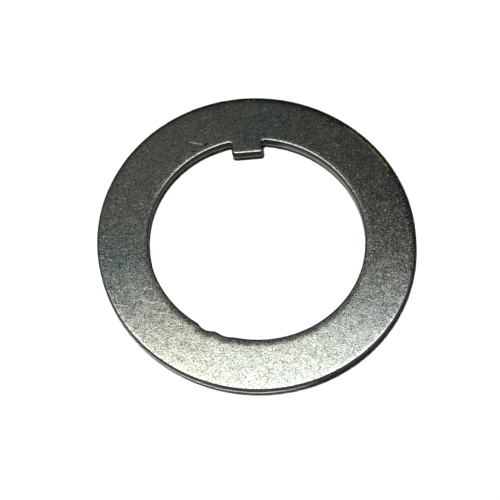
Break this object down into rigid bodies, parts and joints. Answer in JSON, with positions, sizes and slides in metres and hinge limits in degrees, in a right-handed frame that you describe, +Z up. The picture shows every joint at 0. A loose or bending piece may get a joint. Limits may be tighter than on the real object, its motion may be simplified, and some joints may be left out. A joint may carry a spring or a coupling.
{
  "type": "tongued wheel bearing washer",
  "caption": "Flat steel ring blanked from plate, with one square key tongue left inside the bore to stop it turning on a grooved spindle.",
  "frame": {"origin": "on the bore axis, at the lower face", "axes": "+Z up along the bore axis, out of the rolled upper face; +Y from the bore axis to the tongue"},
  "size_m": [0.062, 0.062, 0.003],
  "materials": {
    "zinc_steel": "tumbled and bright zinc-plated"
  },
  "bodies": {
    "root": {"washer": "zinc_steel"}
  },
  "joints": []
}
